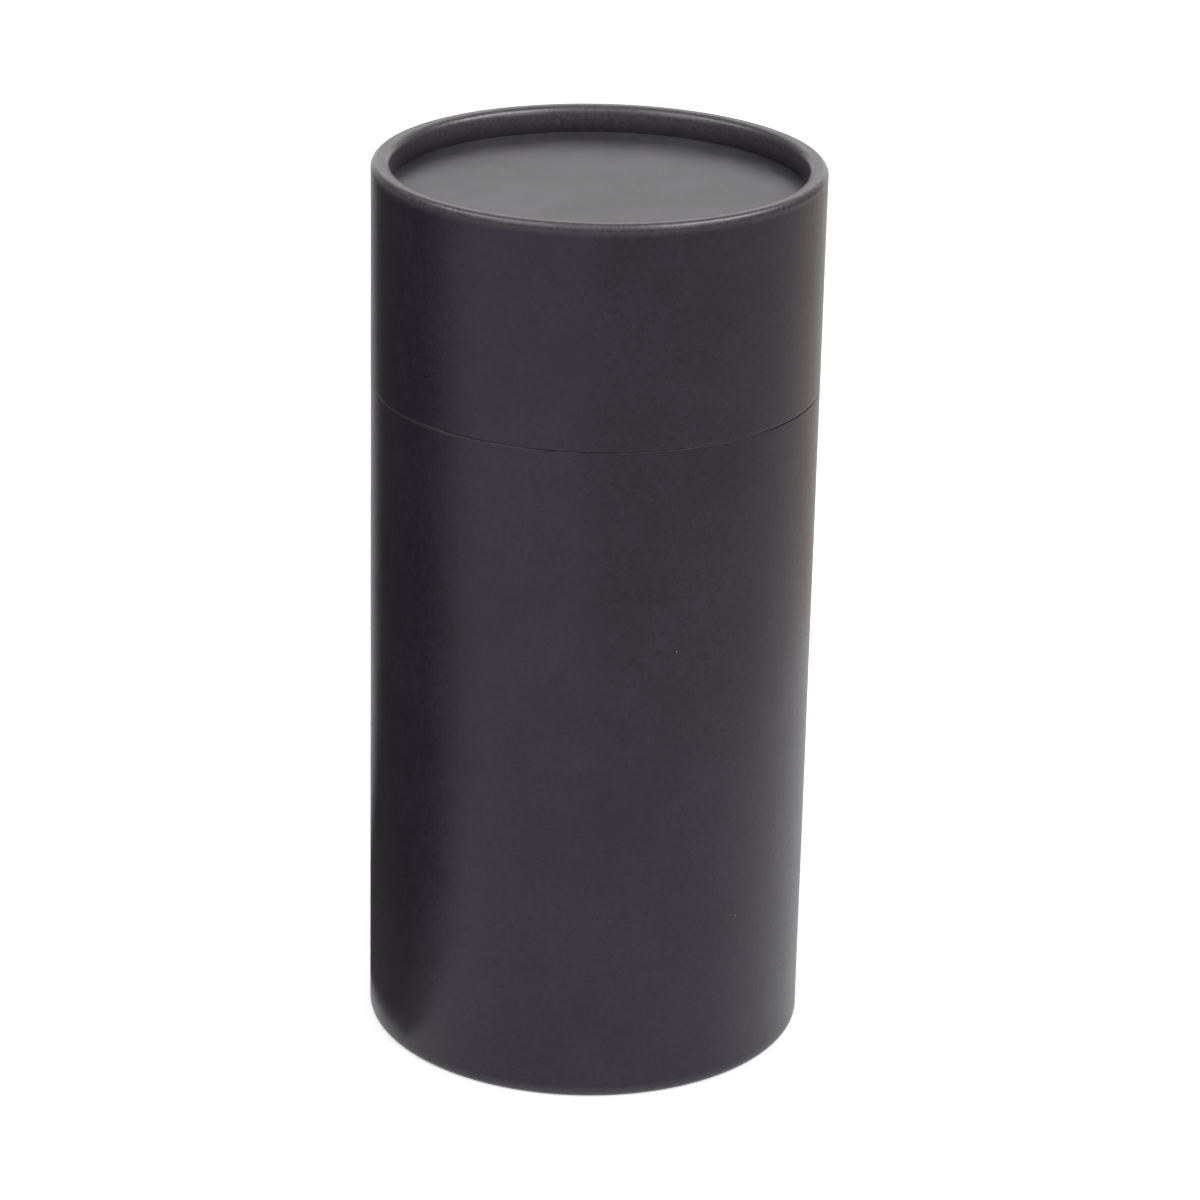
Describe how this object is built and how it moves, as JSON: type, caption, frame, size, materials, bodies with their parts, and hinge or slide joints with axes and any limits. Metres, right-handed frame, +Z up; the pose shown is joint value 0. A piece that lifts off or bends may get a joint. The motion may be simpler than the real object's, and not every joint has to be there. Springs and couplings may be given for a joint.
{
  "type": "cylindrical gift tube box",
  "caption": "Tall round rigid gift box: paper-covered board tube with rolled ends, recessed discs and a flush lid that lifts off an inner neck.",
  "frame": {"origin": "on the floor, at the centre of the foot rim", "axes": "+Z up along the tube's axis towards the lid; the box is round, so +X and +Y are any two directions across it, with -Y towards the viewer in the picture"},
  "size_m": [0.08, 0.08, 0.163],
  "materials": {
    "facing_paper": "matte black, uncoated, dyed through, fine felt mark",
    "disc_paper": "matte black with a soft sheen, laid flat on the disc",
    "lining_paper": "matte, darker than the facing, smooth",
    "grey_board": "wound grey board, cut edges bare"
  },
  "bodies": {
    "body": {"body_tube": "grey_board", "body_wrap": "facing_paper", "neck_tube": "grey_board", "neck_sleeve": "facing_paper", "neck_lining": "lining_paper", "base_disc": "grey_board", "base_disc_face": "facing_paper", "base_disc_lining": "lining_paper"},
    "lid": {"lid_tube": "grey_board", "lid_wrap": "facing_paper", "lid_lining": "lining_paper", "lid_disc": "grey_board", "lid_disc_face": "disc_paper", "lid_disc_lining": "lining_paper", "lid_stop_ring": "grey_board", "lid_ring_lining": "lining_paper"}
  },
  "joints": [
    {"name": "lid_lift", "type": "slide", "parent": "body", "child": "lid", "axis": [0, 0, 1], "range_m": [0, 0.11]}
  ]
}
